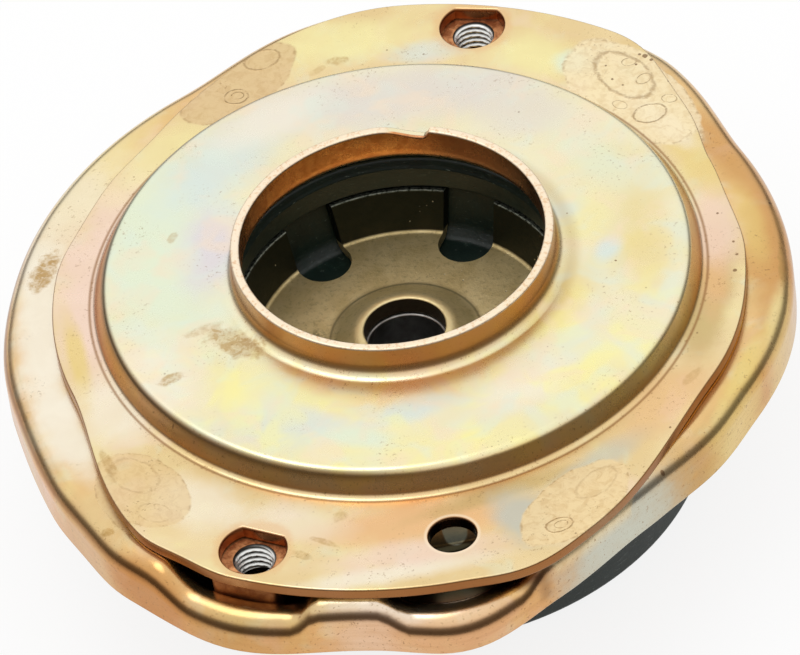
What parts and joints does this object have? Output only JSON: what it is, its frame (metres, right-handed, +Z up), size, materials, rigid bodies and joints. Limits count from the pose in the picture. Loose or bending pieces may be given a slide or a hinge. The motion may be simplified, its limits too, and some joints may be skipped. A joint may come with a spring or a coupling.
{
  "type": "suspension strut mount",
  "caption": "Strut top mount: yellow plated plate with a dome and collar welded on a deep pan, rubber ring, slotted cup, ball thrust bearing, turning spring seat and pad.",
  "frame": {"origin": "on the strut axis, in the plane of the spring pad's underside that the mount stands on", "axes": "+Z up along the strut axis, out of the collar; +Y towards the rear fixing hole; +X to the right as seen from the side of the two front holes"},
  "size_m": [0.1513, 0.1717, 0.055],
  "materials": {
    "yellow_zinc_plate": "yellow chromated zinc plating, pale and iridescent, stained",
    "yellow_zinc_pan": "yellow chromated zinc plating, more orange, with soft reflections",
    "weld_nut_steel": "plated steel with heat tint and bare threads",
    "olive_plated_cup": "dull olive plating with scuffs",
    "bare_steel": "turned bare steel",
    "bearing_steel": "pressed and hardened steel",
    "ball_steel": "polished steel",
    "moulded_cage": "natural moulded nylon",
    "moulded_rubber": "black rubber, slightly glossy",
    "seal_rubber": "black rubber",
    "black_coated_seat": "black electrocoat",
    "pad_rubber": "smooth dark green-grey rubber"
  },
  "bodies": {
    "housing": {"top_plate": "yellow_zinc_plate", "lower_pan": "yellow_zinc_pan", "weld_nut_rear": "weld_nut_steel", "weld_nut_front": "weld_nut_steel", "inner_cup": "olive_plated_cup", "rod_bush": "bare_steel", "rubber_isolator": "moulded_rubber", "bearing_upper_race": "bearing_steel"},
    "ball_set": {"bearing_cage": "moulded_cage", "bearing_ball_01": "ball_steel", "bearing_ball_02": "ball_steel", "bearing_ball_03": "ball_steel", "bearing_ball_04": "ball_steel", "bearing_ball_05": "ball_steel", "bearing_ball_06": "ball_steel", "bearing_ball_07": "ball_steel", "bearing_ball_08": "ball_steel", "bearing_ball_09": "ball_steel", "bearing_ball_10": "ball_steel", "bearing_ball_11": "ball_steel", "bearing_ball_12": "ball_steel", "bearing_ball_13": "ball_steel", "bearing_ball_14": "ball_steel"},
    "seat": {"bearing_lower_race": "bearing_steel", "bearing_seal": "seal_rubber", "spring_seat": "black_coated_seat", "spring_pad": "pad_rubber"}
  },
  "joints": [
    {"name": "seat_swivel", "type": "hinge", "parent": "housing", "child": "seat", "pos_m": [0, 0, 0.0143], "axis": [0, 0, 1], "continuous": true},
    {"name": "ball_orbit", "type": "hinge", "parent": "housing", "child": "ball_set", "pos_m": [0, 0, 0.0143], "axis": [0, 0, 1], "continuous": true}
  ],
  "couplings": [
    {"joint": "ball_orbit", "follows": "seat_swivel", "ratio": 0.5}
  ]
}
